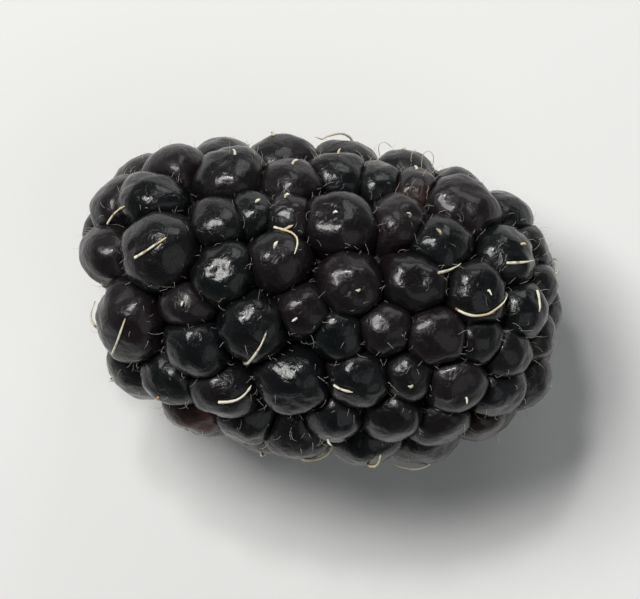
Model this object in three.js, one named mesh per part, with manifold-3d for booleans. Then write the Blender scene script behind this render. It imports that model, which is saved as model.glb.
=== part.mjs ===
// A ripe bramble berry, picked without its green calyx and lying on its side.
//
// The fruit is one grown piece: about a hundred drupelets, each a small juicy swelling, packed over
// a receptacle that stays inside the picked fruit. They press against each other and are joined at
// their feet, so the whole berry is one closed solid.
//
// Units are millimetres. +X runs from the stem end to the tip, +Z is up, and the berry rests on
// the plane Z = 0 with the origin under the middle of its box.
import * as THREE from "three";
import { mergeVertices } from "three/addons/utils/BufferGeometryUtils.js";
import Module from "manifold-3d";

// The ripe fruit's outer size.
const LENGTH = 27.6;
const WIDTH = 18.4;
const HEIGHT = 17.2;

// Side-on, the outline is a superellipse: 2 would be an ellipse, and a larger number is blunter.
const BLUNTNESS = 2.9;

// The middles of the drupelets lie on the bed, a smaller copy of the outline at this depth.
const BED_DEPTH = 2.1;
const BED = new THREE.Vector3(LENGTH / 2 - BED_DEPTH, WIDTH / 2 - BED_DEPTH, HEIGHT / 2 - BED_DEPTH);

// The stem end slants: it draws in by this share from its +Y side to its -Y side, and reaches as far
// as the tip where the bearing from the middle of the berry has this sine.
const SLANT = 0.28;
const FARTHEST_BEARING = 0.25;

// A step small enough to measure a slope with.
const SMALL_STEP = 1e-4;

// The drupelets of the upper side, from the stem end to the tip: how far each one's middle is along
// the berry and across it, and how wide it looks from above.
const UPPER_DRUPELETS = [
  [-12.3, 1.2, 2.9], [-12.1, 4.6, 2.7], [-10.4, -1.8, 4.2], [-10.1, 5.2, 2.9], [-8.8, 2.2, 4.2],
  [-8.5, 7.1, 3.1], [-7, -7.8, 2.7], [-7, -1.1, 2], [-6.5, -3.4, 3], [-6, 3.6, 2.4],
  [-5.5, 1.1, 3.1], [-5.1, -5.7, 3], [-4.9, 7, 3.6], [-3.8, 4.7, 1.9], [-3.4, -1.4, 3.4],
  [-3, -7.5, 2.5], [-2.5, 2.3, 3], [-2.2, 6.8, 2.9], [-0.8, -5, 3.5], [-0.6, -0.7, 2.4],
  [0.7, 7.7, 2.9], [1.2, 4.2, 3.8], [1.5, -7.1, 2.7], [1.7, -1.5, 2.4], [1.8, 0.9, 3.3],
  [2.9, -4, 3], [3.1, 7.5, 2.2], [4, 4.9, 2.7], [4.1, -1, 2.5], [4.6, -6.4, 2.8],
  [5.2, 7.2, 2.1], [5.6, -3.8, 2.1], [5.6, 1.6, 3], [6.6, 4, 2.8], [6.9, -1.4, 2.8],
  [7.6, -6.6, 2.5], [8, 6.3, 3.7], [8.2, -4, 2.8], [8.9, 1.1, 3], [9.1, -1.3, 1.9],
  [10.3, -6.5, 2.2], [10.4, 3.7, 3], [10.7, 6, 2.7], [11, -4.3, 2.5], [11, -2, 2.1],
  [11.7, 0.3, 2.5], [12.7, 4.7, 2], [12.9, 2.4, 2.2], [13.2, -1.1, 2.1],
];

// On a slope the visible dome stands this much further out than its foot.
const LEAN = 1;
const SEAT_STEPS = 4;
const RIM = 0.99;

// The drupelets of the hidden sides are packed between them, the larger ones first. Two touch when
// their middles are this share of the sum of their radii apart, because they narrow towards the bed.
const FOOT_SHARE = 0.92;
const PACKED_RADII = [1.75, 1.5, 1.3, 1.1];
const SPOTS = 2400;
const GOLDEN_ANGLE = Math.PI * (3 - Math.sqrt(5));

// The receptacle's torn end shows in the middle of the stem end, a little deeper than the drupelets.
// Its face and rim stand out from the bed, and its root lies inside.
const SCAR_RADIUS = 2.3;
const SCAR_RIM_RADIUS = 1.8;
const SCAR_FACE = 1;
const SCAR_RIM = 0.7;
const SCAR_ROOT = -3.7;
const SCAR_SIDES = 14;

// As they ripen the drupelets swell and push each other apart into the gaps that are left. Those of
// the upper side hold on to their seats.
const RIPE_SHARE = 1.12;
const RIPENING_STEPS = 30;
const PUSH = 0.25;
const HOLD = 0.25;

// A ripe drupelet is wider than what its neighbours leave in sight of it, the small ones more so,
// and it stands taller than it is wide.
const LEAST_SWELL = 0.95;
const SWELL_SHARE = 0.66;
const TALLNESS = 1.14;

// The joined feet stand this many times further out than the bed.
const FEET_SWELL = 1.04;

// How many times the faces of a ball are divided: few on a small drupelet, more on the joined feet.
const DRUPELET_FINENESS = 1;
const FEET_FINENESS = 4;

// Corners of faces nearer to each other than this are one point of the surface.
const SAME_POINT = 1e-4;

// Underneath, the ripe drupelets within this reach of the table have settled on it and gone flat.
const SETTLE_REACH = 0.8;
const FLAT_DEPTH = 0.22;

// How far along the berry a place would lie if the stem end were square.
function unslanted(x, y) {
  return x < 0 ? x * (1 + SLANT * (FARTHEST_BEARING - y / Math.hypot(x, y))) : x;
}

// How far out a place is, measured so that it is 1 everywhere on the bed.
function reach({ x, y, z }) {
  const along = Math.abs(unslanted(x, y)) / BED.x;
  const around = Math.hypot(y / BED.y, z / BED.z);
  return Math.pow(Math.pow(along, BLUNTNESS) + Math.pow(around, BLUNTNESS), 1 / BLUNTNESS);
}

// Moves a place straight out from the middle of the berry, or in, onto the bed.
function ontoBed(place) {
  return place.divideScalar(reach(place));
}

// The way out of the berry at a place on its bed: the way in which the reach grows fastest.
function outward({ x, y, z }) {
  return new THREE.Vector3(
    reach({ x: x + SMALL_STEP, y, z }) - reach({ x: x - SMALL_STEP, y, z }),
    reach({ x, y: y + SMALL_STEP, z }) - reach({ x, y: y - SMALL_STEP, z }),
    reach({ x, y, z: z + SMALL_STEP }) - reach({ x, y, z: z - SMALL_STEP }),
  ).normalize();
}

// The place on the upper half of the bed straight below x, y, drawn in to its rim if it lies outside.
function onUpperBed(x, y) {
  const outside = Math.max(1, reach({ x, y, z: 0 }) / RIM);
  const along = x / outside;
  const across = y / outside;
  const share = Math.abs(unslanted(along, across)) / BED.x;
  const narrowing = Math.pow(1 - Math.pow(share, BLUNTNESS), 1 / BLUNTNESS);
  const rise = Math.sqrt(narrowing ** 2 - (across / BED.y) ** 2);
  return new THREE.Vector3(along, across, BED.z * rise);
}

// Where a drupelet sits whose dome is seen from above at x, y: on a slope the dome leans outward.
function seatFromAbove(x, y) {
  const seat = onUpperBed(x, y);
  for (let step = 0; step < SEAT_STEPS; step += 1) {
    const lean = outward(seat).multiplyScalar(LEAN);
    seat.copy(onUpperBed(x - lean.x, y - lean.y));
  }
  return seat;
}

// Spots spread evenly over the whole bed, along a spiral with the golden angle between them.
function spotsOnBed() {
  return Array.from({ length: SPOTS }, (_, k) => {
    const height = 1 - (2 * (k + 0.5)) / SPOTS;
    const round = Math.sqrt(1 - height ** 2);
    const turn = k * GOLDEN_ANGLE;
    return ontoBed(new THREE.Vector3(height, round * Math.cos(turn), round * Math.sin(turn)).multiply(BED));
  });
}

// Places every drupelet: the upper ones first, then the rest wherever each fits most snugly.
function packDrupelets(scar) {
  const packed = UPPER_DRUPELETS.map(([x, y, across]) => ({
    middle: seatFromAbove(x, y),
    radius: across / 2,
  }));
  const spots = spotsOnBed();
  const roomAt = (spot) =>
    Math.min(...[scar, ...packed].map((one) => spot.distanceTo(one.middle) / FOOT_SHARE - one.radius));
  for (const radius of PACKED_RADII) {
    for (;;) {
      const fitting = spots
        .map((spot) => ({ spot, room: roomAt(spot) }))
        .filter(({ room }) => room >= radius);
      if (fitting.length === 0) break;
      const snuggest = fitting.reduce((a, b) => (b.room < a.room ? b : a));
      packed.push({ middle: snuggest.spot.clone(), radius });
    }
  }
  return packed;
}

// Lets the drupelets push each other along the bed until they lie evenly.
function ripen(packed, scar) {
  const seats = packed.slice(0, UPPER_DRUPELETS.length).map(({ middle }) => middle.clone());
  for (let step = 0; step < RIPENING_STEPS; step += 1) {
    const pushes = packed.map((one) => {
      const push = new THREE.Vector3();
      for (const other of [scar, ...packed]) {
        const gap = one.middle.clone().sub(other.middle);
        const apart = gap.length();
        const wanted = RIPE_SHARE * (one.radius + other.radius);
        if (other !== one && apart < wanted) push.addScaledVector(gap, (PUSH * (wanted - apart)) / apart);
      }
      return push;
    });
    seats.forEach((seat, i) => pushes[i].add(seat.clone().sub(packed[i].middle).multiplyScalar(HOLD)));
    packed.forEach((one, i) => ontoBed(one.middle.add(pushes[i])));
  }
}

const wasm = await Module();
wasm.setup();

// A closed three.js geometry as a solid that can be joined and cut.
function toSolid(geometry) {
  const bare = geometry.clone();
  bare.deleteAttribute("normal");
  bare.deleteAttribute("uv");
  const merged = mergeVertices(bare, SAME_POINT);
  return new wasm.Manifold(
    new wasm.Mesh({
      numProp: 3,
      vertProperties: merged.attributes.position.array,
      triVerts: new Uint32Array(merged.index.array),
    }),
  );
}

// A joined solid as a three.js geometry again.
function toGeometry(solid) {
  const mesh = solid.getMesh();
  const geometry = new THREE.BufferGeometry();
  geometry.setAttribute("position", new THREE.BufferAttribute(mesh.vertProperties, 3));
  geometry.setIndex(new THREE.BufferAttribute(mesh.triVerts, 1));
  return geometry;
}

// One drupelet: a ball drawn out along the way out of the berry, and let down to the table if it
// nearly reaches it.
function drupelet({ middle, radius }) {
  const way = outward(middle);
  const wide = LEAST_SWELL + SWELL_SHARE * radius;
  const tall = wide * TALLNESS;
  const lowest = middle.z - Math.hypot(wide * Math.hypot(way.x, way.y), tall * way.z);
  const clearance = lowest - (-HEIGHT / 2 - FLAT_DEPTH);
  const drop = way.z < 0 && clearance < SETTLE_REACH ? clearance : 0;
  const shape = new THREE.IcosahedronGeometry(1, DRUPELET_FINENESS);
  shape.scale(wide, wide, tall);
  shape.applyQuaternion(new THREE.Quaternion().setFromUnitVectors(new THREE.Vector3(0, 0, 1), way));
  shape.translate(middle.x, middle.y, middle.z - drop);
  return shape;
}

// The joined feet of the drupelets and the receptacle under them fill the bed and a little more.
function feet() {
  const shape = new THREE.IcosahedronGeometry(1, FEET_FINENESS);
  const position = shape.attributes.position;
  const point = new THREE.Vector3();
  for (let i = 0; i < position.count; i += 1) {
    ontoBed(point.fromBufferAttribute(position, i).multiply(BED)).multiplyScalar(FEET_SWELL);
    position.setXYZ(i, point.x, point.y, point.z);
  }
  return shape;
}

// The receptacle's torn end: a short peg with a blunt rim and a slightly hollow face, set straight
// out of the bed at the middle of the stem end.
function tornEnd(middle) {
  const outline = [
    [0, SCAR_ROOT],
    [SCAR_RADIUS, SCAR_ROOT],
    [SCAR_RADIUS, SCAR_RIM],
    [SCAR_RIM_RADIUS, SCAR_FACE],
    [0, SCAR_RIM],
  ].map(([radius, height]) => new THREE.Vector2(radius, height));
  const turn = new THREE.Quaternion().setFromUnitVectors(new THREE.Vector3(0, 1, 0), outward(middle));
  const peg = new THREE.LatheGeometry(outline, SCAR_SIDES).applyQuaternion(turn);
  return peg.translate(middle.x, middle.y, middle.z);
}

// Everything below the table, which cuts the settled drupelets flat.
function belowTable() {
  const slab = new THREE.BoxGeometry(2 * LENGTH, 2 * WIDTH, HEIGHT);
  slab.translate(0, 0, -HEIGHT);
  return slab;
}

// Trims the grown shape to the stated length, width and height, and stands it on Z = 0.
function fitToSize(geometry) {
  geometry.computeBoundingBox();
  const size = geometry.boundingBox.getSize(new THREE.Vector3());
  const middle = geometry.boundingBox.getCenter(new THREE.Vector3());
  geometry.translate(-middle.x, -middle.y, -geometry.boundingBox.min.z);
  geometry.scale(LENGTH / size.x, WIDTH / size.y, HEIGHT / size.z);
  return geometry;
}

const scar = { middle: ontoBed(new THREE.Vector3(-BED.x, 0, 0)), radius: SCAR_RIM_RADIUS };
const drupelets = packDrupelets(scar);
ripen(drupelets, scar);

const receptacle = toSolid(feet()).add(toSolid(tornEnd(scar.middle)));
const grown = drupelets.reduce((solid, one) => solid.add(toSolid(drupelet(one))), receptacle);
const resting = grown.subtract(toSolid(belowTable()));

const berry = new THREE.Mesh(
  fitToSize(toGeometry(resting)),
  new THREE.MeshStandardMaterial({ color: 0x1a1519, roughness: 0.4, metalness: 0 }),
);
berry.name = "berry";

const group = new THREE.Group();
group.add(berry);

export default group;
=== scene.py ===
# %% [markdown]
# # A bramble berry
#
# A bramble berry is not one fruit but a crowd of them: about a hundred small juicy drupelets, each
# with its own seed, packed round a pale core called the receptacle. When the berry is picked the
# receptacle comes away with it, so a torn pale spot shows at the stem end. Many drupelets still
# carry a dried thread, the style of the flower that they grew from.
#
# This lesson builds it from the inside out: where the drupelets sit, how each one swells against
# its neighbours, how they join, and then the skin, the torn end, the styles and the down.
#
# The frame comes first. It is the plain solid that the fruit has to match in place and size.

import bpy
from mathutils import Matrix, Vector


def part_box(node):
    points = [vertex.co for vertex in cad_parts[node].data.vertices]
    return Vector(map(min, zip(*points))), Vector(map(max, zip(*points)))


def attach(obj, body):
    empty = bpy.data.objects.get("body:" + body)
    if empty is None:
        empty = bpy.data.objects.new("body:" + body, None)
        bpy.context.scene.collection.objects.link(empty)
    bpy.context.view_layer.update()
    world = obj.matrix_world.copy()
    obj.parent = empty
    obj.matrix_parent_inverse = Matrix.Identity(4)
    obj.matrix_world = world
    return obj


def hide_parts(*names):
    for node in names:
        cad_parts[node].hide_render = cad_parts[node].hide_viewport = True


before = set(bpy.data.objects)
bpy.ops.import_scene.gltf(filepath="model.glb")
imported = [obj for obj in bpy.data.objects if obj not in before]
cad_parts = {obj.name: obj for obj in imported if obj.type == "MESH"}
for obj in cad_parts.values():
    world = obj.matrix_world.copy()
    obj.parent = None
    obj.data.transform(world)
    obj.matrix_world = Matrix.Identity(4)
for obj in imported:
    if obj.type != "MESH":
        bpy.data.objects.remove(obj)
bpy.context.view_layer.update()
LOW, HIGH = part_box("berry")
print("solid berry, mm:", [round(1000 * side, 2) for side in HIGH - LOW])

# %% [markdown]
# Lengths below are in millimetres, the natural unit for a berry, and become metres when it is
# fitted to the frame. `random` is seeded, so that every run grows the same fruit.

# %% Tools and units
import math
import random

import bmesh
import bpy
import numpy as np
from mathutils import Matrix, Vector, noise
from mathutils.bvhtree import BVHTree

MM = 0.001
LENGTH, WIDTH, HEIGHT = ((HIGH - LOW) / MM)[:]


def new_object(name, mesh):
    """Puts a mesh in the scene as an object at the origin."""
    thing = bpy.data.objects.new(name, mesh)
    bpy.context.scene.collection.objects.link(thing)
    return thing


def mesh_from(name, bm):
    """Turns a finished bmesh into a mesh with smooth faces."""
    mesh = bpy.data.meshes.new(name)
    bm.to_mesh(mesh)
    bm.free()
    mesh.polygons.foreach_set("use_smooth", [True] * len(mesh.polygons))
    return mesh


# %% [markdown]
# ## The camera
#
# The berry is looked at from straight above. A long lens from a third of a metre away shows the
# drupelets at the rim, which a lens held close would lose behind those in the middle. Turning the
# camera a few degrees lets the tip of the berry point a little downhill.

# %% The camera
CAMERA_HEIGHT = 330
BERRY_SHARE_OF_WIDTH = 0.76
CAMERA_TURN = 5
NEAREST_SEEN, FARTHEST_SEEN = 10, 10000


def set_camera():
    """Looks straight down on the berry with its length across the picture."""
    lens = bpy.data.cameras.new("camera")
    seen_width = LENGTH / BERRY_SHARE_OF_WIDTH
    lens.lens = lens.sensor_width * (CAMERA_HEIGHT - HEIGHT / 2) / seen_width
    lens.clip_start = NEAREST_SEEN * MM
    lens.clip_end = FARTHEST_SEEN * MM
    camera = bpy.data.objects.new("camera", lens)
    bpy.context.scene.collection.objects.link(camera)
    camera.location = (0, 0, CAMERA_HEIGHT * MM)
    camera.rotation_euler = (0, 0, math.radians(CAMERA_TURN))
    bpy.context.scene.camera = camera
    return lens.lens


print("lens, mm:", round(set_camera()))

# %% [markdown]
# ## Where the drupelets sit
#
# The middles of the drupelets lie on a smooth rounded surface inside the berry, the bed. A
# superellipse gives its blunt outline: `reach` is 1 on the bed, less inside and more outside, so
# dividing a point by its reach drops it onto the bed. This berry sat a little crooked on its stalk,
# so its stem end slants: it reaches farthest on one side and draws in towards the other.

# %% The bed
BLUNTNESS = 2.9
BED_DEPTH = 2.1
BED = np.array([LENGTH / 2, WIDTH / 2, HEIGHT / 2]) - BED_DEPTH
SLANT = 0.28
FARTHEST_BEARING = 0.25
SMALL_STEP = 1e-4


def unslanted(x, y):
    """How far along the berry a place would lie if the stem end were square."""
    return x * (1 + SLANT * (FARTHEST_BEARING - y / math.hypot(x, y))) if x < 0 else x


def reach(place):
    """How far out a place is, measured so that it is 1 everywhere on the bed."""
    x, y, z = place
    along = abs(unslanted(x, y)) / BED[0]
    around = math.hypot(y / BED[1], z / BED[2])
    return (along**BLUNTNESS + around**BLUNTNESS) ** (1 / BLUNTNESS)


def onto_bed(place):
    """Moves a place straight out from the middle of the berry, or in, onto the bed."""
    return place / reach(place)


def outward(place):
    """The way out of the berry at a place on its bed, in which the reach grows fastest."""
    steps = SMALL_STEP * np.eye(3)
    way = np.array([reach(place + step) - reach(place - step) for step in steps])
    return way / np.linalg.norm(way)


print("bed half sizes, mm:", BED.round(2))

# %% [markdown]
# The drupelets that face the camera are placed one by one, by how far along and across the berry
# each is seen and how wide it looks. On a slope a dome leans outward, so its foot is a little
# further in than the dome that is seen.

# %% The drupelets of the upper side
UPPER_DRUPELETS = [
    [-12.3, 1.2, 2.9], [-12.1, 4.6, 2.7], [-10.4, -1.8, 4.2], [-10.1, 5.2, 2.9], [-8.8, 2.2, 4.2],
    [-8.5, 7.1, 3.1], [-7, -7.8, 2.7], [-7, -1.1, 2], [-6.5, -3.4, 3], [-6, 3.6, 2.4],
    [-5.5, 1.1, 3.1], [-5.1, -5.7, 3], [-4.9, 7, 3.6], [-3.8, 4.7, 1.9], [-3.4, -1.4, 3.4],
    [-3, -7.5, 2.5], [-2.5, 2.3, 3], [-2.2, 6.8, 2.9], [-0.8, -5, 3.5], [-0.6, -0.7, 2.4],
    [0.7, 7.7, 2.9], [1.2, 4.2, 3.8], [1.5, -7.1, 2.7], [1.7, -1.5, 2.4], [1.8, 0.9, 3.3],
    [2.9, -4, 3], [3.1, 7.5, 2.2], [4, 4.9, 2.7], [4.1, -1, 2.5], [4.6, -6.4, 2.8],
    [5.2, 7.2, 2.1], [5.6, -3.8, 2.1], [5.6, 1.6, 3], [6.6, 4, 2.8], [6.9, -1.4, 2.8],
    [7.6, -6.6, 2.5], [8, 6.3, 3.7], [8.2, -4, 2.8], [8.9, 1.1, 3], [9.1, -1.3, 1.9],
    [10.3, -6.5, 2.2], [10.4, 3.7, 3], [10.7, 6, 2.7], [11, -4.3, 2.5], [11, -2, 2.1],
    [11.7, 0.3, 2.5], [12.7, 4.7, 2], [12.9, 2.4, 2.2], [13.2, -1.1, 2.1],
]
LEAN = 1.0
SEAT_STEPS = 4
RIM = 0.99


def on_upper_bed(x, y):
    """The place on the upper half of the bed below x, y, drawn in to its rim if outside it."""
    outside = max(1, reach(np.array([x, y, 0.0])) / RIM)
    along, across = x / outside, y / outside
    narrowing = (1 - abs(unslanted(along, across) / BED[0]) ** BLUNTNESS) ** (1 / BLUNTNESS)
    rise = math.sqrt(narrowing**2 - (across / BED[1]) ** 2)
    return np.array([along, across, BED[2] * rise])


def seat_from_above(x, y):
    """Where a drupelet sits whose dome is seen from above at x, y."""
    seat = on_upper_bed(x, y)
    for _ in range(SEAT_STEPS):
        lean = outward(seat) * LEAN
        seat = on_upper_bed(x - lean[0], y - lean[1])
    return seat


print("drupelets placed by hand:", len(UPPER_DRUPELETS))

# %% [markdown]
# The hidden sides are packed by a rule. Thousands of spots are spread over the bed along a spiral
# with the golden angle between them, as seeds are in a sunflower. The next drupelet always goes to
# the spot where it fits most snugly, the large ones first, until none fits any more.

# %% Packing the hidden sides
FOOT_SHARE = 0.92
PACKED_RADII = [1.75, 1.5, 1.3, 1.1]
SPOTS = 2400
GOLDEN_ANGLE = math.pi * (3 - math.sqrt(5))
SCAR_CENTRE = onto_bed(np.array([-BED[0], 0, 0]))
SCAR_RIM_RADIUS = 1.8


def spots_on_bed():
    """Spots spread evenly over the whole bed."""
    height = 1 - 2 * (np.arange(SPOTS) + 0.5) / SPOTS
    ring = np.sqrt(1 - height**2)
    turn = np.arange(SPOTS) * GOLDEN_ANGLE
    sphere = np.stack([height, ring * np.cos(turn), ring * np.sin(turn)], axis=1)
    return np.array([onto_bed(spot) for spot in sphere * BED])


def room_beside(spots, middle, radius):
    """How large a drupelet could be at each spot without crowding the one at the middle."""
    return np.linalg.norm(spots - middle, axis=1) / FOOT_SHARE - radius


def pack_drupelets():
    """Middles and radii of all drupelets, as two arrays."""
    middles = [seat_from_above(x, y) for x, y, _ in UPPER_DRUPELETS]
    radii = [across / 2 for _, _, across in UPPER_DRUPELETS]
    spots = spots_on_bed()
    room = room_beside(spots, SCAR_CENTRE, SCAR_RIM_RADIUS)
    for middle, radius in zip(middles, radii):
        room = np.minimum(room, room_beside(spots, middle, radius))
    for radius in PACKED_RADII:
        while (room >= radius).any():
            snuggest = spots[np.where(room >= radius, room, np.inf).argmin()]
            middles.append(snuggest)
            radii.append(radius)
            room = np.minimum(room, room_beside(spots, snuggest, radius))
    return np.array(middles), np.array(radii)


# %% [markdown]
# Then the berry ripens: all the drupelets push each other a little way along the bed, many times
# over, until the gaps between them have closed. Those that were placed one by one hold on to their
# seats, so that the rest give way to them.

# %% Ripening
RIPE_SHARE = 1.12
RIPENING_STEPS = 30
PUSH = 0.25
HOLD = 0.25
SMALLEST_GAP = 1e-9


def ripen(middles, radii):
    """Lets the drupelets push each other along the bed until they lie evenly."""
    seats = middles[: len(UPPER_DRUPELETS)]
    for _ in range(RIPENING_STEPS):
        others = np.vstack([SCAR_CENTRE, middles])
        sizes = np.append(SCAR_RIM_RADIUS, radii)
        gaps = middles[:, None] - others[None]
        apart = np.linalg.norm(gaps, axis=2)
        wanted = RIPE_SHARE * (radii[:, None] + sizes[None])
        strength = np.where((apart < wanted) & (apart > 0), PUSH * (wanted - apart), 0)
        pushes = (gaps * (strength / np.maximum(apart, SMALLEST_GAP))[..., None]).sum(axis=1)
        pushes[: len(seats)] += HOLD * (seats - middles[: len(seats)])
        middles = np.array([onto_bed(place) for place in middles + pushes])
    return middles


MIDDLES, RADII = pack_drupelets()
MIDDLES = ripen(MIDDLES, RADII)
WAYS = np.array([outward(place) for place in MIDDLES])
print("drupelets:", len(MIDDLES))

# %% [markdown]
# ## One drupelet
#
# A ripe drupelet is a bead of juice in a thin skin, a little taller than wide. In the crowd it is
# flattened wherever a neighbour presses on it, with rounded edges between the flats, and its free
# top stays a dome with a small dent where the style sits.
#
# That shape has a simple rule. In each direction from its middle the skin is as far out as the
# nearest of its own round skin, its neighbours' pressed walls and the table. A soft minimum, with
# a power that sets how tight the edges are, blends them.

# %% How big the drupelets have swollen
LEAST_SWELL = 1.15
SWELL_SHARE = 0.72
TALLNESS = 1.14
SETTLE_REACH = 0.8
FLAT_DEPTH = 0.22
TABLE = -HEIGHT / 2

WIDES = LEAST_SWELL + SWELL_SHARE * RADII
TALLS = WIDES * TALLNESS


def settle(middles):
    """Lets the drupelets that nearly reach the table down onto it."""
    lowest = middles[:, 2] - np.hypot(
        WIDES * np.hypot(WAYS[:, 0], WAYS[:, 1]), TALLS * WAYS[:, 2]
    )
    clearance = lowest - (TABLE - FLAT_DEPTH)
    drop = np.where((WAYS[:, 2] < 0) & (clearance < SETTLE_REACH), clearance, 0)
    return middles - np.outer(drop, [0, 0, 1])


MIDDLES = settle(MIDDLES)
print("half widths of the drupelets, mm:", WIDES.min().round(2), "to", WIDES.max().round(2))

# %% [markdown]
# No two drupelets are alike, and a crowd of perfect domes looks like beads. So each has a few
# traits of its own, dealt out at random: it leans to one side, is longer one way than the other,
# is puckered by some number of folds near its foot, and its top has sunk in a little or a lot.

# %% The traits of each drupelet
LEAN_OF_TOP = 0.16
MOST_STRETCH = 0.11
FEWEST_FOLDS, MOST_FOLDS = 4, 8
LEAST_DENT, MOST_DENT = 0.03, 0.16
SHALLOW_DENT_BIAS = 3
NARROW_DENT, WIDE_DENT = 0.26, 0.58


def upright(way):
    """The turn that points +Z along a way."""
    return np.array(Vector(way).to_track_quat("Z", "Y").to_matrix())


class Traits:
    """What makes one drupelet differ from the next."""

    def __init__(self, way):
        tilt = [random.gauss(0, LEAN_OF_TOP), random.gauss(0, LEAN_OF_TOP), 1]
        self.top = upright(way) @ tilt / np.linalg.norm(tilt)
        self.turn = upright(self.top)
        self.stretch = random.uniform(0, MOST_STRETCH)
        self.longest = random.uniform(0, math.pi)
        self.folds = random.randint(FEWEST_FOLDS, MOST_FOLDS)
        self.first_fold = random.uniform(0, 2 * math.pi)
        self.dent = LEAST_DENT + (MOST_DENT - LEAST_DENT) * random.random() ** SHALLOW_DENT_BIAS
        self.dent_width = random.uniform(NARROW_DENT, WIDE_DENT)


random.seed(11)
TRAITS = [Traits(way) for way in WAYS]
print("deepest dent, share of height:", round(max(traits.dent for traits in TRAITS), 2))

# %% [markdown]
# The skin of each drupelet follows from its neighbours and its own traits. Sculpting a hundred of
# them by hand would take days, so one function of the direction shapes them all.

# %% The shape of a pressed drupelet
WALL_OVERLAP = 0.1
EDGE_TIGHTNESS = 11
TABLE_TIGHTNESS = 22
PUCKER_DEPTH = 0.036
LUMP_DEPTH = 0.065
LUMP_PITCH = 1.7
DIMPLE_DEPTH = 0.026
DIMPLE_PITCH = 0.6


def noise_at(places, pitch):
    """Smooth random numbers from -1 to 1 at some places, with lumps one pitch apart."""
    return np.array([noise.noise(Vector(place)) for place in (places / pitch).tolist()])


def skin_distance(which, directions):
    """How far the skin of a drupelet lies from its middle, along each of some directions."""
    middle, wide, tall, own = MIDDLES[which], WIDES[which], TALLS[which], TRAITS[which]
    across, along, up = own.turn.T @ directions.T
    side = np.sqrt(np.maximum(0, 1 - up**2))
    bearing = np.arctan2(along, across)
    girth = wide * (1 + own.stretch * np.cos(2 * (bearing - own.longest)))
    crowding = ((side / girth) ** 2 + (up / tall) ** 2) ** (EDGE_TIGHTNESS / 2)
    for other in range(len(MIDDLES)):
        gap = MIDDLES[other] - middle
        apart = np.linalg.norm(gap)
        if other == which or apart > wide + WIDES[other]:
            continue
        wall = (apart**2 + wide**2 - WIDES[other] ** 2) / (2 * apart) + WALL_OVERLAP
        crowding += (np.maximum(0, directions @ gap) / apart / wall) ** EDGE_TIGHTNESS
    crowding += (np.maximum(0, -directions[:, 2]) / (middle[2] - TABLE)) ** TABLE_TIGHTNESS
    distance = crowding ** (-1 / EDGE_TIGHTNESS)
    dent = own.dent * np.exp(-((np.arccos(np.clip(up, -1, 1)) / own.dent_width) ** 2))
    pucker = PUCKER_DEPTH * side**3 * np.cos(own.folds * bearing + own.first_fold)
    ball = middle + directions * tall
    lumps = LUMP_DEPTH * noise_at(ball, LUMP_PITCH)
    dimples = DIMPLE_DEPTH * noise_at(ball, DIMPLE_PITCH)
    return distance * (1 - dent + pucker + (lumps + dimples))


# %% [markdown]
# ## Joining them
#
# The drupelets overlap a little at their walls and are joined to the bed, so that the berry is one
# closed skin with a crease wherever two of them meet. A boolean does that. Joining a hundred balls
# one after another is slow, so they are dealt into a few groups in which none touches another.

# %% Dealing the drupelets into groups
AROUND = 50
FROM_TOP_TO_FOOT = 29
CLEAR_APART = 1.1


def deal_into_groups():
    """Lists of drupelets that don't touch each other."""
    groups = []
    for which in range(len(MIDDLES)):
        apart = np.linalg.norm(MIDDLES - MIDDLES[which], axis=1)
        touching = set(np.flatnonzero(apart < CLEAR_APART * (TALLS[which] + TALLS)))
        home = next((group for group in groups if not touching & set(group)), None)
        if home is None:
            home = []
            groups.append(home)
        home.append(which)
    return groups


def add_drupelet(bm, which):
    """Adds one drupelet: a ball whose every point is moved out or in to the skin."""
    turn = Matrix(upright(WAYS[which]).tolist())
    ball = bmesh.ops.create_uvsphere(
        bm, u_segments=AROUND, v_segments=FROM_TOP_TO_FOOT, radius=1, matrix=turn.to_4x4()
    )
    directions = np.array([vert.co[:] for vert in ball["verts"]])
    directions /= np.linalg.norm(directions, axis=1)[:, None]
    places = MIDDLES[which] + directions * skin_distance(which, directions)[:, None]
    for vert, place in zip(ball["verts"], places.tolist()):
        vert.co = place


def group_mesh(number, group):
    """One mesh with all the drupelets of a group."""
    bm = bmesh.new()
    for which in group:
        add_drupelet(bm, which)
    return mesh_from(f"group_{number}", bm)


# %% [markdown]
# The bed itself is a finely divided ball, dropped onto the same superellipse. It shows only at the
# bottom of the deepest creases and round the torn end.

# %% The joined feet
FEET_FINENESS = 5


def feet_mesh():
    """The joined feet of the drupelets."""
    bm = bmesh.new()
    bmesh.ops.create_icosphere(bm, subdivisions=FEET_FINENESS, radius=1)
    for vert in bm.verts:
        vert.co = onto_bed(np.array(vert.co[:]) * BED).tolist()
    return mesh_from("feet", bm)


def join_all():
    """The whole berry as one closed mesh, still in millimetres."""
    berry = new_object("berry_skin", feet_mesh())
    for number, group in enumerate(deal_into_groups()):
        part = new_object(f"group_{number}", group_mesh(number, group))
        join = berry.modifiers.new(part.name, "BOOLEAN")
        join.operation = "UNION"
        join.solver = "MANIFOLD"
        join.object = part
    joined = bpy.data.meshes.new_from_object(
        berry.evaluated_get(bpy.context.evaluated_depsgraph_get())
    )
    for join in list(berry.modifiers):
        bpy.data.objects.remove(join.object)
        berry.modifiers.remove(join)
    berry.data = joined
    return berry


# %% [markdown]
# Where the walls of three drupelets meet deep inside, the join can leave a little pocket that
# nobody can see. Only the outer skin is kept: the largest shell of faces that hang together. The
# join also leaves spare corners along the creases, which touch only two edges. They go too, because
# a flap with no thickness would grow on each when the faces are cut into triangles. Last, the faces
# are put in a fixed order, as the join lists them differently each time.

# %% Keeping the outer skin
SPARE_ROUNDS = 3


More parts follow.
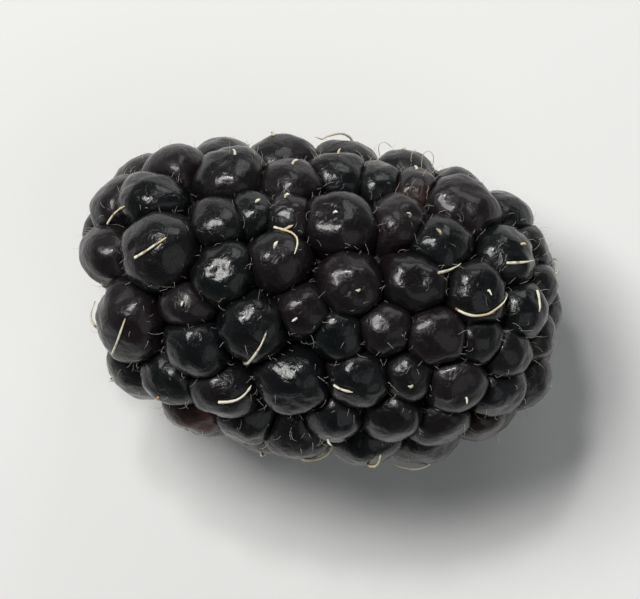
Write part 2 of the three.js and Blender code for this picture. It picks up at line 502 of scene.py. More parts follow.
def shells(bm):
    """The faces of a bmesh, in lists of faces that hang together."""
    found = []
    left = set(bm.faces)
    while left:
        shell = []
        front = [left.pop()]
        while front:
            face = front.pop()
            shell.append(face)
            beside = {link for edge in face.edges for link in edge.link_faces} & left
            left -= beside
            front.extend(beside)
        found.append(shell)
    return sorted(found, key=len)


def drop_spare_corners(bm):
    """Takes out the corners that touch only two edges, and says how many there were."""
    dropped = 0
    for _ in range(SPARE_ROUNDS):
        spare = [vert for vert in bm.verts if len(vert.link_edges) == 2]
        bmesh.ops.dissolve_verts(bm, verts=spare)
        dropped += len(spare)
    return dropped


def sort_faces(bm):
    """Puts the faces in an order that depends only on their corners."""
    bm.verts.index_update()
    count = len(bm.verts)

    def rank(face):
        first, second, third = sorted(vert.index for vert in face.verts)[:3]
        return (first * count + second) * count + third

    bm.faces.sort(key=rank)


def keep_outer_skin(mesh):
    """Cleans a joined mesh, and makes it smooth with a single material."""
    bm = bmesh.new()
    bm.from_mesh(mesh)
    *pockets, _ = shells(bm)
    lost = [face for shell in pockets for face in shell]
    bmesh.ops.delete(bm, geom=lost, context="FACES")
    print("inner pockets:", len(pockets), "spare corners:", drop_spare_corners(bm))
    sort_faces(bm)
    for face in bm.faces:
        face.material_index = 0
        face.smooth = True
    bm.to_mesh(mesh)
    bm.free()
    mesh.materials.clear()


berry = join_all()
keep_outer_skin(berry.data)
print("berry faces:", len(berry.data.polygons))

# %% [markdown]
# The joined berry is trimmed to the size of the solid. `to_world` does the same to a single place,
# so that the styles and the torn end can be put on it later.

# %% Fitting to size
GROWN = np.array([vert.co[:] for vert in berry.data.vertices])
GROWN_LOW, GROWN_HIGH = GROWN.min(axis=0), GROWN.max(axis=0)
TRIM = np.array([LENGTH, WIDTH, HEIGHT]) / (GROWN_HIGH - GROWN_LOW)


def to_world(place):
    """A place in the grown berry, in millimetres, as a place in the frame, in metres."""
    return np.array(LOW) + (place - GROWN_LOW) * TRIM * MM


berry.data.vertices.foreach_set("co", to_world(GROWN).ravel())
berry.data.update()
print("trim:", TRIM.round(3))

# %% [markdown]
# Three things vary from drupelet to drupelet or over each one: how red each drupelet still is, a
# number of its own that sets its tint and gloss, and how near a point lies to the crease round its
# drupelet. A painted texture would need the skin laid out flat. Attributes in the mesh don't.

# %% Attributes of the skin
REDDISH_PLACES = {(-7, -7.8): 0.85, (10.3, -6.5): 0.5, (5.2, 7.2): 0.3}
HIDDEN_REDDISH = 2
LEAST_REDNESS, MOST_REDNESS = 0.5, 1
CREASE_WIDTH = 0.35
CREASE_ANGLE = 50


def redness_of_drupelets():
    """How red each drupelet still is: chosen ones on the upper side, and a few hidden ones."""
    redness = np.zeros(len(MIDDLES))
    for which, (x, y, _) in enumerate(UPPER_DRUPELETS):
        redness[which] = REDDISH_PLACES.get((x, y), 0)
    underneath = np.flatnonzero(MIDDLES[:, 2] < 0).tolist()
    for which in random.sample(underneath, HIDDEN_REDDISH):
        redness[which] = random.uniform(LEAST_REDNESS, MOST_REDNESS)
    return redness


def owners(places):
    """The drupelet that each place belongs to, and how far off the next one's wall is, in mm."""
    powers = np.array(
        [((places - middle) ** 2).sum(axis=1) - wide**2 for middle, wide in zip(MIDDLES, WIDES)]
    )
    first, second = powers.argsort(axis=0)[:2]
    row = np.arange(len(places))
    apart = np.linalg.norm(MIDDLES[first] - MIDDLES[second], axis=1)
    return first, (powers[second, row] - powers[first, row]) / (2 * apart)


def keep(mesh, name, domain, values):
    """Stores one number for each face or vertex."""
    attribute = mesh.attributes.new(name, "FLOAT", domain)
    attribute.data.foreach_set("value", np.asarray(values, np.float32))


def store_attributes(mesh):
    """Writes the redness and own number on the faces, and the nearness to a crease on points."""
    centres = np.array([GROWN[list(face.vertices)].mean(axis=0) for face in mesh.polygons])
    owner, _ = owners(centres)
    keep(mesh, "redness", "FACE", redness_of_drupelets()[owner])
    keep(mesh, "own_number", "FACE", np.array([random.random() for _ in MIDDLES])[owner])
    keep(mesh, "crease", "POINT", NEAR_CREASE)


random.seed(5)
NEAR_CREASE = np.exp(-np.maximum(0, owners(GROWN)[1]) / CREASE_WIDTH)
store_attributes(berry.data)
berry.data.set_sharp_from_angle(angle=math.radians(CREASE_ANGLE))
print("mean nearness to a crease:", NEAR_CREASE.mean().round(2))

# %% [markdown]
# ## Shader sums
#
# A material is a graph of nodes, which is tedious to write one node at a time. `Value` wraps a
# socket so that ordinary sums on it add the Math nodes, and `Shader.node` adds any other node.

# %% A small language for shaders


class Value:
    """A shader socket that can be used in sums."""

    def __init__(self, shader, socket):
        self.shader = shader
        self.socket = socket

    def __add__(self, other):
        return self.shader.math("ADD", self, other)

    def __sub__(self, other):
        return self.shader.math("SUBTRACT", self, other)

    def __rsub__(self, other):
        return self.shader.math("SUBTRACT", other, self)

    def __mul__(self, other):
        return self.shader.math("MULTIPLY", self, other)

    __radd__ = __add__
    __rmul__ = __mul__


class Shader:
    """One material and the nodes in it."""

    def __init__(self, name):
        self.material = bpy.data.materials.new(name)
        self.material.use_nodes = True
        self.tree = self.material.node_tree
        self.surface = self.tree.nodes["Principled BSDF"]

    def feed(self, socket, value):
        """Links a Value to a socket, or sets the socket to a number or colour."""
        if isinstance(value, Value):
            self.tree.links.new(value.socket, socket)
        else:
            socket.default_value = value

    def node(self, kind, settings=None, inputs=None, output=0):
        """Adds a node with its settings, feeds its sockets and returns one of its outputs."""
        node = self.tree.nodes.new(kind)
        for name, setting in (settings or {}).items():
            setattr(node, name, setting)
        for name, value in (inputs or {}).items():
            self.feed(node.inputs[name], value)
        return Value(self, node.outputs[output])

    def math(self, operation, first, second):
        return self.node("ShaderNodeMath", {"operation": operation}, {0: first, 1: second})

    def mix(self, share, first, second):
        """Goes from the first colour to the second as share goes from 0 to 1."""
        return self.node(
            "ShaderNodeMix", {"data_type": "RGBA"}, {0: share, 6: first, 7: second}, output=2
        )

    def between(self, value, low, high):
        """0 up to low, 1 from high on, and a smooth rise between them."""
        return self.node(
            "ShaderNodeMapRange",
            {"interpolation_type": "SMOOTHSTEP"},
            {"Value": value, "From Min": low, "From Max": high},
        )

    def place(self):
        return self.node("ShaderNodeTexCoord", output="Object")

    def attribute(self, name):
        return self.node("ShaderNodeAttribute", {"attribute_name": name}, output="Fac")

    def noise(self, pitch_mm, detail=2.0, roughness=0.5, distortion=0.0):
        """A noise from 0 to 1 whose lumps are about pitch_mm apart."""
        return self.node(
            "ShaderNodeTexNoise",
            {"noise_dimensions": "3D"},
            {
                "Vector": self.place(),
                "Scale": 1 / (pitch_mm * MM),
                "Detail": detail,
                "Roughness": roughness,
                "Distortion": distortion,
            },
        )

    def bump(self, height, depth_mm, normal=None):
        inputs = {"Height": height, "Distance": depth_mm * MM}
        if normal is not None:
            inputs["Normal"] = normal
        return self.node("ShaderNodeBump", None, inputs)

    def finish(self, **sockets):
        """Feeds the Principled surface, where Base_Color stands for the socket Base Color."""
        for name, value in sockets.items():
            self.feed(self.surface.inputs[name.replace("_", " ")], value)
        return self.material


# %% [markdown]
# ## The skin
#
# The skin is a purple so deep that it looks black, thin enough for the juice to show wine-red in
# the drupelets that ripened last. It is glossy where it is stretched taut over the tops, and duller
# towards the feet. Noise in space makes its clouds, grain and wrinkles, because it runs on over
# every crease without a seam.

# %% The skin's material
BLUE_BLACK = (0.0036, 0.0050, 0.0054, 1)
PURPLE_BLACK = (0.0078, 0.0048, 0.0062, 1)
WINE_RED = (0.060, 0.012, 0.010, 1)
OWN_TINT = 0.5
JUICE_DEPTH = 0.7
GLOSSIEST = 0.2
DRUPELETS_DIFFER = 0.14
DULL_CREASE = 0.22
GRAIN_DIFFERS = 0.2


def skin_material():
    """Skin whose tint and gloss differ from drupelet to drupelet, and dull in the creases."""
    shader = Shader("berry_skin")
    own = shader.attribute("own_number")
    crease = shader.attribute("crease")
    clouds = shader.noise(pitch_mm=2.2, detail=3)
    tint = shader.between(own * OWN_TINT + clouds, low=0.45, high=1.05)
    colour = shader.mix(tint, BLUE_BLACK, PURPLE_BLACK)
    blush = shader.attribute("redness") * shader.between(clouds, low=0.3, high=0.62)
    colour = shader.mix(blush, colour, WINE_RED)
    grain = shader.noise(pitch_mm=0.16, detail=3, roughness=0.6)
    wrinkles = shader.noise(pitch_mm=0.55, detail=2, distortion=0.8)
    rough = GLOSSIEST + DRUPELETS_DIFFER * own + DULL_CREASE * crease
    rough += GRAIN_DIFFERS * (grain - 0.5)
    normal = shader.bump(wrinkles, depth_mm=0.08)
    normal = shader.bump(grain, depth_mm=0.011, normal=normal)
    shader.finish(
        Subsurface_Weight=0.12,
        Subsurface_Radius=(1.0, 0.25, 0.3),
        Subsurface_Scale=JUICE_DEPTH * MM,
        IOR=1.36,
        Coat_Weight=0.3,
        Coat_Roughness=0.08,
    )
    return shader.finish(Base_Color=colour, Roughness=rough, Normal=normal)


berry.data.materials.append(skin_material())
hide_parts("berry")
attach(berry, "root")

# %% [markdown]
# ## The torn end
#
# Where the berry was pulled off its stalk the end of its core shows between the drupelets: a disc
# of pale flesh, a little hollow, with a ragged rim and a ring of fibres that carried the sap. It is
# spun from an outline, and its points are then moved, because torn flesh has no straight line
# anywhere. A loop spins it, as Blender's own spin lists the faces differently each time.

# %% The shape of the torn end
SCAR_OUTLINE = [
    [-12.0, 0], [-12.02, 0.35], [-12.12, 0.75], [-12.32, 1.2], [-12.55, 1.6], [-12.65, 1.95],
    [-12.45, 2.3], [-12.15, 2.75], [-11.85, 3.2], [-11.2, 3.2], [-10.0, 2.2], [-9.6, 0],
]
SCAR_STEPS = 40
SCAR_FINENESS = 2
SAME_POINT = 0.001
FACE_RADIUS = 2.3
RIM_WIDTH = 0.5
TEAR_DEPTH = 0.3
TEAR_PITCH = 0.8
FLAP_DEPTH = 0.28
FLAPS = 5.5
FIBRE_DEPTH = 0.14
FIBRES = 16
FIBRE_TWIST = 0.8
PIT_DEPTH = 0.2
PIT_RADIUS = 0.32
BUNDLES = 9
BUNDLE_RING = 1.05
BUNDLE_HEIGHT = 0.22
BUNDLE_RADIUS = 0.15
FRONT_THICKNESS = 0.3


def bundle_rise(y, z):
    """How far the stubs of the sap-carrying fibres stand up from the torn face."""
    rise = 0
    for number in range(BUNDLES):
        turn = 2 * math.pi * number / BUNDLES
        off = math.hypot(y - BUNDLE_RING * math.cos(turn), z - BUNDLE_RING * math.sin(turn))
        rise += BUNDLE_HEIGHT * math.exp(-((off / BUNDLE_RADIUS) ** 2))
    return rise


def torn(place):
    """A point of the spun disc, roughened as torn flesh is."""
    _, y, z = place
    off = math.hypot(y, z)
    side = Vector((y, z, 0)) / max(off, SAME_POINT)
    rim = math.exp(-(((off - FACE_RADIUS) / RIM_WIDTH) ** 2))
    twisted = side * FIBRES + Vector((0, 0, off * FIBRE_TWIST))
    rough = TEAR_DEPTH * noise.noise(place / TEAR_PITCH)
    rough += FLAP_DEPTH * rim * noise.noise(side * FLAPS)
    rough += FIBRE_DEPTH * min(1, off) * noise.noise(twisted)
    rough -= PIT_DEPTH * math.exp(-((off / PIT_RADIUS) ** 2))
    if place.x < SCAR_OUTLINE[0][0] + FRONT_THICKNESS:
        rough += bundle_rise(y, z)
    return place - Vector((rough, 0, 0))


def onto_slant():
    """The move that takes the end of an even bed to the stem end of this one."""
    inward = -outward(SCAR_CENTRE)
    turn = Matrix.Rotation(math.atan2(inward[1], inward[0]), 4, "Z")
    return Matrix.Translation(SCAR_CENTRE) @ turn @ Matrix.Translation((BED[0], 0, 0))


def spun_outline():
    """The outline turned round the X axis, as a bmesh."""
    bm = bmesh.new()
    rings = []
    for step in range(SCAR_STEPS):
        turn = Matrix.Rotation(2 * math.pi * step / SCAR_STEPS, 3, "X")
        rings.append([bm.verts.new(turn @ Vector((x, radius, 0))) for x, radius in SCAR_OUTLINE])
    for ring, following in zip(rings, rings[1:] + rings[:1]):
        for corners in zip(ring, ring[1:], following[1:], following):
            bm.faces.new(corners)
    bmesh.ops.remove_doubles(bm, verts=bm.verts, dist=SAME_POINT)
    return bm


def torn_end():
    """The end of the core, as a closed mesh in place."""
    bm = spun_outline()
    bmesh.ops.subdivide_edges(
        bm, edges=bm.edges, cuts=SCAR_FINENESS, use_grid_fill=True, smooth=0.5
    )
    shape = bm.verts.layers.float.new("off_centre")
    seated = onto_slant()
    for vert in bm.verts:
        vert[shape] = math.hypot(vert.co.y, vert.co.z) / FACE_RADIUS
        vert.co = to_world(np.array(seated @ torn(vert.co))).tolist()
    bmesh.ops.recalc_face_normals(bm, faces=bm.faces)
    return new_object("receptacle_end", mesh_from("receptacle_end", bm))


scar = torn_end()
print("torn end faces:", len(scar.data.polygons))

# %% [markdown]
# The flesh is cream with a little green, moist, and stained by juice and browned by air where the
# tear meets the drupelets. The stain follows the distance from the middle of the disc, broken up
# by noise.

# %% The flesh's material
FRESH_FLESH = (0.56, 0.53, 0.36, 1)
GREEN_FLESH = (0.36, 0.38, 0.17, 1)
BROWNED_FLESH = (0.20, 0.11, 0.045, 1)
JUICE_STAIN = (0.022, 0.0065, 0.010, 1)
BROWN_SPECKS, BROWN_BLOTCHES, BROWN_RING, BROWN_RIM = 0.7, 0.3, 0.12, 0.1
STAINED_BLOTCHES, STAINED_SPECKS = 0.7, 0.2
MOIST_FLESH, DRY_SPECKS = 0.45, 0.35
FLESH_DEPTH = 0.4


def flesh_material():
    """Torn flesh: browned in specks and on the ring of fibres, and stained at the rim."""
    shader = Shader("receptacle_flesh")
    off = shader.attribute("off_centre")
    blotches = shader.noise(pitch_mm=0.9, detail=4, roughness=0.65)
    specks = shader.noise(pitch_mm=0.16, detail=3, roughness=0.7)
    green = shader.between(blotches, low=0.35, high=0.65)
    from_ring = shader.math("ABSOLUTE", off - BUNDLE_RING / FACE_RADIUS, 0)
    ring = 1 - shader.between(from_ring, low=0.02, high=0.2)
    browning = specks * BROWN_SPECKS + blotches * BROWN_BLOTCHES + ring * BROWN_RING
    browning += off * BROWN_RIM
    staining = off + blotches * STAINED_BLOTCHES + specks * STAINED_SPECKS
    colour = shader.mix(green, FRESH_FLESH, GREEN_FLESH)
    colour = shader.mix(shader.between(browning, low=0.6, high=0.76), colour, BROWNED_FLESH)
    colour = shader.mix(shader.between(staining, low=1.15, high=1.5), colour, JUICE_STAIN)
    shader.finish(
        Subsurface_Weight=0.3,
        Subsurface_Radius=(1.0, 0.7, 0.4),
        Subsurface_Scale=FLESH_DEPTH * MM,
    )
    rough = MOIST_FLESH + specks * DRY_SPECKS
    normal = shader.bump(specks, depth_mm=0.12)
    return shader.finish(Base_Color=colour, Roughness=rough, Normal=normal)


scar.data.materials.append(flesh_material())
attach(scar, "root")

# %% [markdown]
# ## Threads on the skin
#
# Dried styles and fine hairs are both threads that lie on the skin or stand up from it. A thread is
# a path of points. To lay it on the berry each point is tested against the nearest place on the
# skin, and moved if it is inside or stands too high.

# %% Laying threads on the skin
SKIN = BVHTree.FromPolygons(GROWN.tolist(), [face.vertices[:] for face in berry.data.polygons])
ABOVE = 30
MOST_RISE = 0.45
RELAX_STEPS = 2
LAY_STEPS = 4
FEWEST_POINTS = 4


def off_the_skin(path, clearance):
    """The path with its points a little off the skin, but not high above it or under the table."""
    moved = []
    for place in path:
        nearest, normal, _, _ = SKIN.find_nearest(Vector(place))
        height = (Vector(place) - nearest).dot(normal)
        if height < clearance:
            place = nearest + normal * clearance
        elif height > MOST_RISE:
            place = nearest + (Vector(place) - nearest) * MOST_RISE / height
        moved.append([place[0], place[1], max(place[2], TABLE + clearance)])
    return np.array(moved)


def relaxed(path):
    """The path drawn a little straighter, as a stiff thread would be."""
    for _ in range(RELAX_STEPS):
        path[1:-1] = (path[:-2] + 2 * path[1:-1] + path[2:]) / 4
    return path


def laid(path, clearance):
    """The path settled on the skin: moved off it and straightened in turn."""
    for _ in range(LAY_STEPS):
        path = relaxed(off_the_skin(path, clearance))
    return off_the_skin(path, clearance)


def resampled(corners, step):
    """Points at even steps along a path that is given by its corners."""
    corners = np.array(corners, float)
    run = np.append(0, np.linalg.norm(np.diff(corners, axis=0), axis=1).cumsum())
    along = np.linspace(0, run[-1], max(FEWEST_POINTS, round(run[-1] / step) + 1))
    return np.stack([np.interp(along, run, corners[:, axis]) for axis in range(3)], axis=1)


def height_of_skin(x, y):
    """How high the skin lies at a place seen from above."""
    hit, _, _, _ = SKIN.ray_cast(Vector((x, y, ABOVE)), Vector((0, 0, -1)))
    return hit.z if hit else TABLE


# %% [markdown]
# Hair systems would draw threads fast but leave no mesh. Here the paths become one curve object
# with a round bevel, which Blender turns into tubes with closed ends, so that all are one mesh.

# %% Turning threads into a mesh


class Threads:
    """Many thin tubes that become one mesh."""

    def __init__(self, name, sides):
        """Tubes with 4 or more sides: the bevel adds 2 sides with each step of its resolution."""
        self.curve = bpy.data.curves.new(name, "CURVE")
        self.curve.dimensions = "3D"
        self.curve.bevel_depth = MM
        self.curve.bevel_resolution = (sides - 4) // 2
        self.curve.use_fill_caps = True

    def add(self, path, radii):
        """One thread through some places of the grown berry, with a radius in mm at each."""
        spline = self.curve.splines.new("POLY")
        spline.points.add(len(path) - 1)
        for point, place, radius in zip(spline.points, path, radii):
            point.co = (*to_world(np.array(place)), 1)
            point.radius = radius

    def to_piece(self, material):
        """The finished mesh object."""
        name = self.curve.name
        tubes = new_object(name, self.curve)
        mesh = bpy.data.meshes.new_from_object(
            tubes.evaluated_get(bpy.context.evaluated_depsgraph_get())
        )
        bpy.data.objects.remove(tubes)
        mesh.materials.clear()
        mesh.materials.append(material)
        return new_object(name, mesh)


# %% [markdown]
# ## Dried styles
#
# A style is the stalk of the flower's stigma. One grew from the top of each drupelet, and many are
# still there, dry, curled and the colour of straw, the brightest things on the berry. On the upper
# side each is laid one by one, given by the corners of its path as seen from above.

# %% The styles of the upper side
UPPER_STYLES = [
    [[-10.1, 1.6], [-9.2, 2.2], [-8.5, 2.9]],
    [[-2.6, 4.1], [-1.9, 3.95], [-1.1, 3.4], [-1.4, 2.6]],
    [[-2.1, 3.9], [-1.6, 4.3]],
    [[-3.7, -4.0], [-3.0, -3.4], [-2.7, -2.6], [-2.55, -2.1]],
    [[-4.85, -6.4], [-3.7, -6.2], [-3.2, -5.3]],
    [[6.6, 2.2], [7.3, 2.45], [7.8, 2.95]],
    [[10.4, 3.2], [11.2, 3.25], [11.9, 3.5]],
    [[7.8, 0.3], [8.5, -0.1], [9.4, 0.0], [10.1, 0.5], [10.5, 1.5]],
    [[1.5, -4.8], [2.0, -5.15], [2.5, -5.1]],
    [[-11.0, -4.1], [-10.6, -3.0], [-10.4, -2.0]],
    [[-12.0, 3.4], [-11.7, 4.2], [-11.0, 4.6]],
    [[12.2, 1.7], [12.5, 1.1], [12.4, 0.5]],
]
STYLE_STEP = 0.25
STYLE_RADIUS = 0.08
STYLE_LIFT = 0.12
TIP_SHARE = 0.5
TAPER_POWER = 1.5
END_SHARE = 0.3
THINNEST, THICKEST = 0.82, 1.15
STIGMA_SHARE = 0.4
STIGMA_SWELL = 1.5


def style_radii(count):
    """Thickest a little above the root and thinner towards the tip, never quite even."""
    share = np.linspace(0, 1, count)
    taper = 1 - (1 - TIP_SHARE) * share**TAPER_POWER
    if random.random() < STIGMA_SHARE:
        taper[-2] *= STIGMA_SWELL
    taper[-1] = END_SHARE
    return STYLE_RADIUS * taper * np.array([random.uniform(THINNEST, THICKEST) for _ in share])


def lay_style(threads, corners):
    """A style whose path is given by its corners as seen from above."""
    path = resampled([[x, y, 0] for x, y in corners], STYLE_STEP)
    path[:, 2] = [height_of_skin(x, y) for x, y, _ in path]
    share = np.linspace(0, 1, len(path))
    path = laid(path, STYLE_RADIUS)
    path[:, 2] += STYLE_LIFT * np.sin(math.pi * share)
    threads.add(path, style_radii(len(path)))


print("styles laid by hand:", len(UPPER_STYLES))

# %% [markdown]
# On the other sides a rule does, because nothing says where each style lies. Some drupelets keep
# one, which leaves the dent in the top at a slant and bends over onto the skin.

# %% The styles of the other sides
KEPT_SHARE = 0.4
SHORTEST_STYLE, LONGEST_STYLE = 1.3, 3.0
STYLE_POINTS = 12
FIRST_BENDS = (0.5, 1.3)
LAST_BENDS = (1.7, 2.9)
MOST_SWERVE = 1.2
LOWEST_STYLE = 1.5
HIGHEST_STYLE = 12.0


def bending_path(root, up, length, bends, points):
    """A path that leaves its root with the first bend, goes over to the last, and swerves."""
    turn = upright(up)
    bearing = random.uniform(0, 2 * math.pi)
    swerve = random.uniform(-MOST_SWERVE, MOST_SWERVE)
    path = [root]
    for share in np.linspace(0, 1, points - 1):
        bend = bends[0] + (bends[1] - bends[0]) * share
        aim = bearing + swerve * share
        way = [math.sin(bend) * math.cos(aim), math.sin(bend) * math.sin(aim), math.cos(bend)]
        path.append(path[-1] + turn @ way * length / (points - 1))
    return np.array(path)


def root_of_style(which):
    """The place on the skin from which the style of a drupelet grew."""
    top = MIDDLES[which] + TRAITS[which].top * TALLS[which]
    return np.array(SKIN.find_nearest(Vector(top))[0])


def grow_styles(threads):
    """Styles on the drupelets that aren't on the upper side. Says which drupelets keep one."""
    kept = []
    for which in range(len(UPPER_DRUPELETS), len(MIDDLES)):
        root = root_of_style(which)
        at_the_side = TABLE + LOWEST_STYLE < root[2] < TABLE + HIGHEST_STYLE
        if random.random() > KEPT_SHARE or not at_the_side:
            continue
        length = random.uniform(SHORTEST_STYLE, LONGEST_STYLE)
        bends = [random.uniform(*FIRST_BENDS), random.uniform(*LAST_BENDS)]
        path = bending_path(root, TRAITS[which].top, length, bends, STYLE_POINTS)
        path[1:] = laid(path[1:], STYLE_RADIUS)
        threads.add(path, style_radii(len(path)))
        kept.append(which)
    return kept


# %% [markdown]
# Where a style has broken off, a short stub is often left in the dent.

# %% Stubs
STUB_SHARE = 0.6
SHORTEST_STUB, LONGEST_STUB = 0.2, 0.55
STUB_BENDS = [0.3, 1.3]
STUB_POINTS = 4
CLEAR_OF_STYLES = 0.9


def grow_stubs(threads, kept):
    """Stubs on some of the drupelets that have lost their style."""
    seen = np.array([corner for corners in UPPER_STYLES for corner in corners])
    stubs = 0
    for which in range(len(MIDDLES)):
        root = root_of_style(which)
        nearest_style = np.linalg.norm(seen - root[:2], axis=1).min() if root[2] > 0 else math.inf
        covered = which in kept or nearest_style < CLEAR_OF_STYLES
        if random.random() > STUB_SHARE or covered or root[2] < TABLE + LONGEST_STUB:
            continue
        length = random.uniform(SHORTEST_STUB, LONGEST_STUB)
        path = bending_path(root, TRAITS[which].top, length, STUB_BENDS, STUB_POINTS)
        threads.add(path, style_radii(len(path)))
        stubs += 1
    return stubs


# %% [markdown]
# Dry styles are straw-coloured, paler where they have bleached and brown in spots.

# %% The styles' material
STRAW = (0.62, 0.52, 0.31, 1)
PALE_STRAW = (0.82, 0.80, 0.66, 1)
BROWN_STRAW = (0.32, 0.17, 0.07, 1)
BROWNED_STYLES = 0.4
SMOOTH_STRAW, ROUGH_SPOTS = 0.45, 0.25


def straw_material():
    """Straw that pales from style to style and is browned in spots."""
    shader = Shader("dried_style")
    slow = shader.noise(pitch_mm=2.6, detail=1)
    quick = shader.noise(pitch_mm=0.5, detail=3)
    pale = shader.between(slow, low=0.3, high=0.5)
    brown = shader.between(quick + slow * BROWNED_STYLES, low=0.72, high=0.92)
    colour = shader.mix(brown, shader.mix(pale, STRAW, PALE_STRAW), BROWN_STRAW)
    rough = SMOOTH_STRAW + quick * ROUGH_SPOTS
    normal = shader.bump(quick, depth_mm=0.03)
    return shader.finish(Base_Color=colour, Roughness=rough, Normal=normal)


random.seed(8)
style_threads = Threads("dried_styles", sides=6)
for corners in UPPER_STYLES:
    lay_style(style_threads, corners)
kept = grow_styles(style_threads)
print("styles on other sides:", len(kept), "stubs:", grow_stubs(style_threads, kept))
styles = style_threads.to_piece(straw_material())
print("faces of the styles:", len(styles.data.polygons))
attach(styles, "root")

# %% [markdown]
# ## Down
#
# Short hairs grow on the skin, most of them in the creases. They hardly show against the fruit and
# are seen best as a faint fuzz where it meets the background. Each grows from a face of the skin,
# picked at random with a weight that rises towards the creases.

# %% The roots of the down
HAIRS = 1500
CREASE_PULL = 1.0
BARE_SHARE = 0.1
LOWEST_HAIR = 0.8


def hair_roots():
    """Faces of the skin for the hairs to grow from, more of them near the creases."""
    weights = []
    for face in berry.data.polygons:
        crease = NEAR_CREASE[list(face.vertices)].mean()
        low = face.center.z < LOWEST_HAIR * MM
        weights.append(0 if low else face.area * (BARE_SHARE + CREASE_PULL * crease))
    return sorted(set(random.choices(range(len(weights)), weights, k=HAIRS)))


# %% [markdown]
# A hair is a thread of three short stretches, bent over at random. A few longer ones, which stand
# up in loops at the rim, are listed one by one.

# %% The down
SHORTEST_HAIR, LONGEST_HAIR = 0.35, 0.95
SHORT_HAIR_BIAS = 2
HAIR_RADIUS = 0.011
HAIR_TIP_SHARE = 0.4
HAIR_POINTS = 4
UPRIGHT_SHARE = 0.7
FIRST_HAIR_BEND = 0.3
LEAST_HAIR_BEND, MOST_HAIR_BEND = 0.5, 1.5
LONG_HAIRS = [
    [[2.9, 8.9, 1.4], [2.7, 9.6, 2.0], [3.1, 9.9, 2.1], [3.5, 9.5, 1.8]],
    [[4.7, 8.7, 1.2], [4.6, 9.3, 1.6], [4.9, 9.5, 1.7]],
    [[5.3, 8.4, 1.6], [5.25, 9.3, 2.0], [5.6, 9.6, 2.1], [5.95, 9.3, 2.0], [5.9, 8.5, 1.6]],
]
LONG_HAIR_RADIUS = 0.022
DUSTY_HAIR = (0.42, 0.38, 0.30, 1)
PALE_HAIR = (0.62, 0.60, 0.52, 1)
SMOOTH_HAIR, ROUGH_HAIR = 0.4, 0.2


def grow_down(threads):
    """Short curved hairs all over."""
    for number in hair_roots():
        face = berry.data.polygons[number]
        root = GROWN[list(face.vertices)].mean(axis=0)
        way = UPRIGHT_SHARE * outward(onto_bed(root))
        way += (1 - UPRIGHT_SHARE) * np.array(face.normal)
        longer = (LONGEST_HAIR - SHORTEST_HAIR) * random.random() ** SHORT_HAIR_BIAS
        bends = [FIRST_HAIR_BEND, random.uniform(LEAST_HAIR_BEND, MOST_HAIR_BEND)]
        path = bending_path(root, way, SHORTEST_HAIR + longer, bends, HAIR_POINTS)
        threads.add(path, np.linspace(1, HAIR_TIP_SHARE, HAIR_POINTS) * HAIR_RADIUS)


def down_material():
    """Hairs from dusty brown to pale."""
    shader = Shader("down")
    tone = shader.noise(pitch_mm=3, detail=1)
    colour = shader.mix(tone, DUSTY_HAIR, PALE_HAIR)
    return shader.finish(Base_Color=colour, Roughness=SMOOTH_HAIR + tone * ROUGH_HAIR)


random.seed(21)
hair_threads = Threads("fine_down", sides=4)
grow_down(hair_threads)
for corners in LONG_HAIRS:
    path = resampled(corners, STYLE_STEP)
    hair_threads.add(relaxed(path), [LONG_HAIR_RADIUS] * len(path))
down = hair_threads.to_piece(down_material())
print("faces of the down:", len(down.data.polygons))
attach(down, "root")

# %% [markdown]
# ## The stage
#
# A dark glossy fruit shows mostly what it reflects, so the stage is part of its look. The floor is
# a plain sheet of pale card, large enough to have no edge in any view.

# %% The floor
FLOOR_HALF = 900
FLOOR_COLOUR = (0.84, 0.84, 0.83, 1)
FLOOR_ROUGHNESS = 0.7


def lay_floor():
    """A pale sheet of card under the berry."""
    bm = bmesh.new()
    bmesh.ops.create_grid(bm, x_segments=1, y_segments=1, size=FLOOR_HALF * MM)
    floor = new_object("floor", mesh_from("floor", bm))
    shader = Shader("pale_card")
    card = shader.finish(Base_Color=FLOOR_COLOUR, Roughness=FLOOR_ROUGHNESS)
    floor.data.materials.append(card)


lay_floor()

# %% [markdown]
# The surroundings stay dimmer than the floor, so that the black skin stays black. An even grey
# would flatten the berry, so they are brightest low down, where the sides of the drupelets look.

# %% The surroundings
SKY_COLOUR = (0.96, 0.98, 1.0, 1)


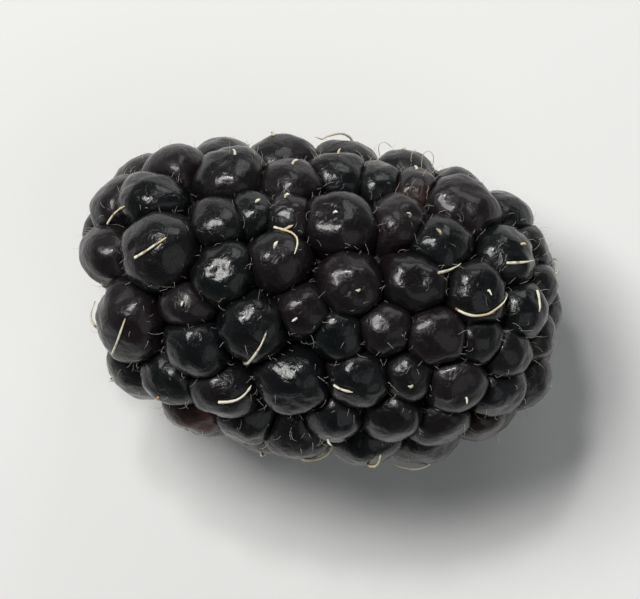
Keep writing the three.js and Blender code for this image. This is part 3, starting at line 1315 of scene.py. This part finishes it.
def light_world(horizon, zenith, reach_up):
    """A glow from all round that fades from the horizon upwards."""
    world = bpy.data.worlds.new("studio")
    world.use_nodes = True
    tree = world.node_tree
    direction = tree.nodes.new("ShaderNodeTexCoord")
    parts = tree.nodes.new("ShaderNodeSeparateXYZ")
    fade = tree.nodes.new("ShaderNodeMapRange")
    fade.interpolation_type = "SMOOTHSTEP"
    fade.inputs["From Max"].default_value = reach_up
    fade.inputs["To Min"].default_value = horizon
    fade.inputs["To Max"].default_value = zenith
    tree.links.new(direction.outputs["Generated"], parts.inputs["Vector"])
    tree.links.new(parts.outputs["Z"], fade.inputs["Value"])
    tree.links.new(fade.outputs["Result"], tree.nodes["Background"].inputs["Strength"])
    tree.nodes["Background"].inputs["Color"].default_value = SKY_COLOUR
    bpy.context.scene.world = world


light_world(horizon=0.21, zenith=0.05, reach_up=0.7)

# %% [markdown]
# A soft key light gives each drupelet its gleam, and a small lamp a glint. A large dim light fills
# the shadow, and one from behind catches the rim.

# %% The lights
WARM_WHITE, COOL_WHITE, WHITE = (1.0, 0.99, 0.97), (0.95, 0.98, 1.0), (1, 1, 1)


def add_light(name, place_mm, size_mm, watts, colour=WHITE, shape="SQUARE"):
    """A soft light that faces the berry."""
    light = bpy.data.lights.new(name, "AREA")
    light.shape = shape
    light.size = size_mm * MM
    light.energy = watts
    light.color = colour
    lamp = bpy.data.objects.new(name, light)
    bpy.context.scene.collection.objects.link(lamp)
    lamp.location = Vector(place_mm) * MM
    lamp.rotation_euler = (-lamp.location).to_track_quat("-Z", "Y").to_euler()


add_light("key", (-200, 160, 400), size_mm=190, watts=1.75, colour=WARM_WHITE)
add_light("fill", (260, -160, 340), size_mm=460, watts=0.28, colour=COOL_WHITE, shape="DISK")
add_light("glint", (-90, 210, 370), size_mm=45, watts=0.35)
add_light("rim", (60, 320, 160), size_mm=160, watts=0.2)
bpy.context.scene.view_settings.view_transform = "Standard"
print("lights, W:", round(sum(light.energy for light in bpy.data.lights), 2))
